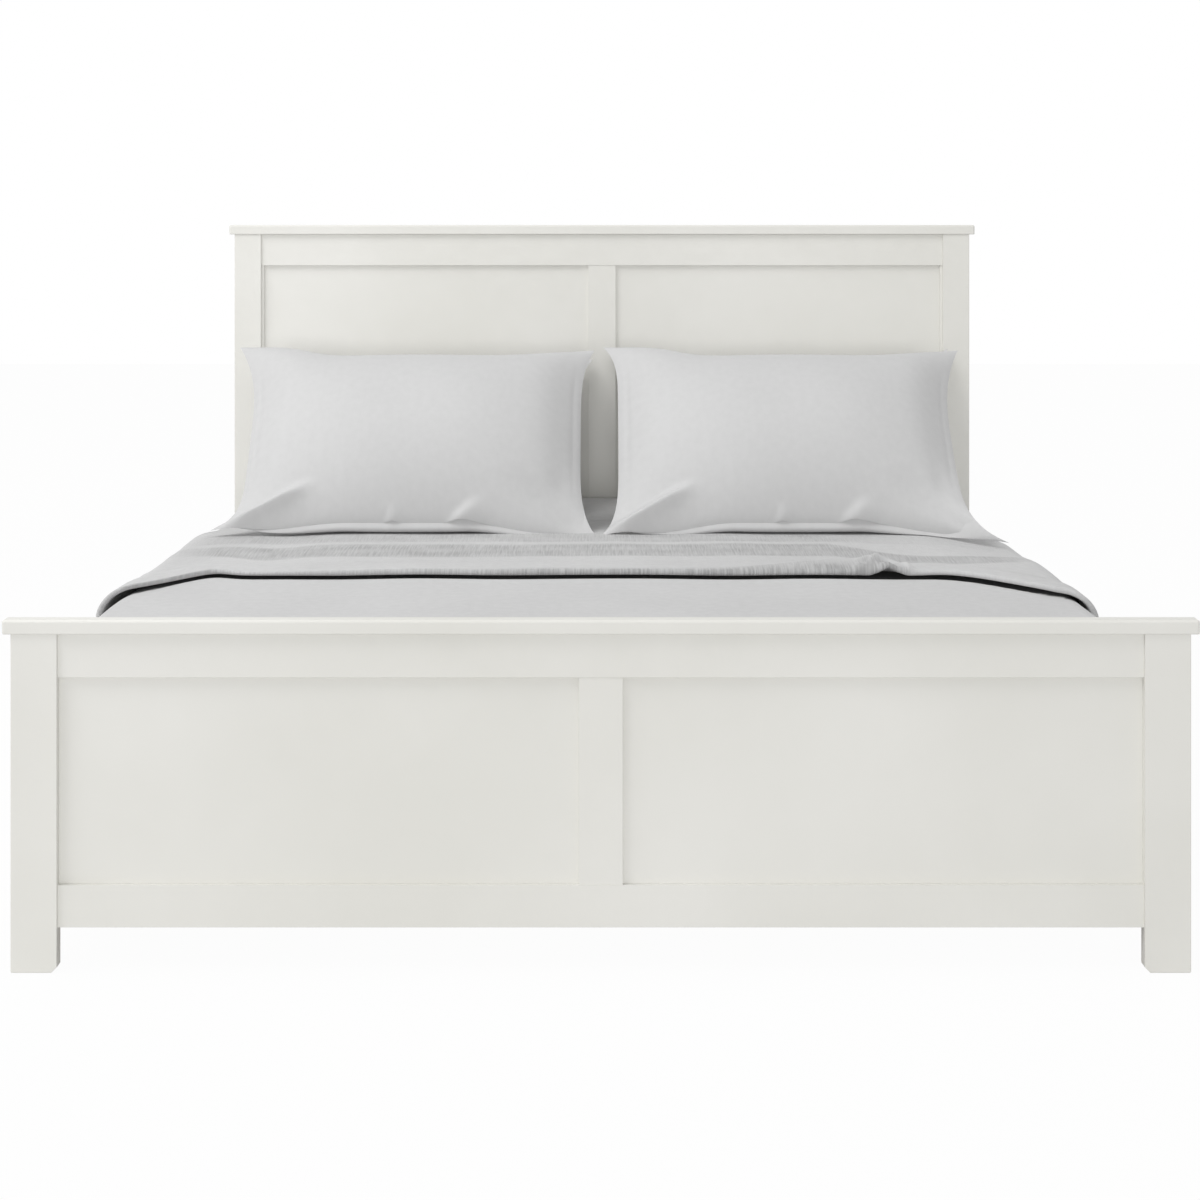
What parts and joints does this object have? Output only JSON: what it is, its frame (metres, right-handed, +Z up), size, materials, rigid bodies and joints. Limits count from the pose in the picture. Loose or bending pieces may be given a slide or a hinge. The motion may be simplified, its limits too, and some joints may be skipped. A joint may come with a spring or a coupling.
{
  "type": "bed",
  "caption": "Panelled wooden bed with headboard, footboard, side rails, slats and a made-up mattress with pillows, cover and folded sheet.",
  "frame": {"origin": "on the floor, under the middle of the bounding box", "axes": "+X to the right seen from the foot, +Y from the foot to the head, +Z up"},
  "size_m": [2.067, 2.121, 1.291],
  "materials": {
    "beech_dowel": "turned beech",
    "cover_cotton": "fine plain-weave cotton, light grey",
    "glide_plastic": "moulded nylon with a steel stud",
    "mattress_ticking": "woven mattress ticking",
    "painted_wood": "satin off-white paint over wood",
    "pillow_cotton": "smooth cotton pillowcase, light grey",
    "pine": "planed pine, uncoated",
    "sheet_ribbed_cotton": "ribbed cotton weave, light grey",
    "zinc_screws": "zinc-plated steel",
    "zinc_steel": "zinc-plated pressed steel"
  },
  "bodies": {
    "bed": {"beam_hanger_foot": "zinc_steel", "beam_hanger_head": "zinc_steel", "bed_cover": "cover_cotton", "centre_beam": "pine", "centre_leg_1": "pine", "centre_leg_2": "pine", "centre_leg_3": "pine", "centre_leg_bolts": "zinc_screws", "folded_sheet": "sheet_ribbed_cotton", "footboard_bottom_rail": "painted_wood", "footboard_cap": "painted_wood", "footboard_cap_dowels": "beech_dowel", "footboard_centre_stile": "painted_wood", "footboard_leg_left": "painted_wood", "footboard_leg_right": "painted_wood", "footboard_panel_left": "painted_wood", "footboard_panel_right": "painted_wood", "footboard_top_rail": "painted_wood", "glide_inserts": "zinc_steel", "headboard_bottom_rail": "painted_wood", "headboard_cap": "painted_wood", "headboard_cap_dowels": "beech_dowel", "headboard_centre_stile": "painted_wood", "headboard_panel_left": "painted_wood", "headboard_panel_right": "painted_wood", "headboard_post_left": "painted_wood", "headboard_post_right": "painted_wood", "headboard_top_rail": "painted_wood", "mattress": "mattress_ticking", "pillow_front_left": "pillow_cotton", "pillow_front_right": "pillow_cotton", "pillow_rear_left": "pillow_cotton", "pillow_rear_right": "pillow_cotton", "post_slotted_plates": "zinc_steel", "rail_hook_plates": "zinc_steel", "side_rail_left": "painted_wood", "side_rail_right": "painted_wood", "slat_01": "pine", "slat_02": "pine", "slat_03": "pine", "slat_04": "pine", "slat_05": "pine", "slat_06": "pine", "slat_07": "pine", "slat_08": "pine", "slat_09": "pine", "slat_10": "pine", "slat_11": "pine", "slat_12": "pine", "slat_13": "pine", "slat_14": "pine", "slat_ledge_left": "pine", "slat_ledge_right": "pine"},
    "leg_glide_1": {"leg_glide_1": "glide_plastic"},
    "leg_glide_2": {"leg_glide_2": "glide_plastic"},
    "leg_glide_3": {"leg_glide_3": "glide_plastic"}
  },
  "joints": [
    {"name": "leg_glide_1_screw", "type": "slide", "parent": "bed", "child": "leg_glide_1", "axis": [0, 0, 1], "range_m": [0, 0.0075]},
    {"name": "leg_glide_2_screw", "type": "slide", "parent": "bed", "child": "leg_glide_2", "axis": [0, 0, 1], "range_m": [0, 0.0075]},
    {"name": "leg_glide_3_screw", "type": "slide", "parent": "bed", "child": "leg_glide_3", "axis": [0, 0, 1], "range_m": [0, 0.0075]}
  ]
}
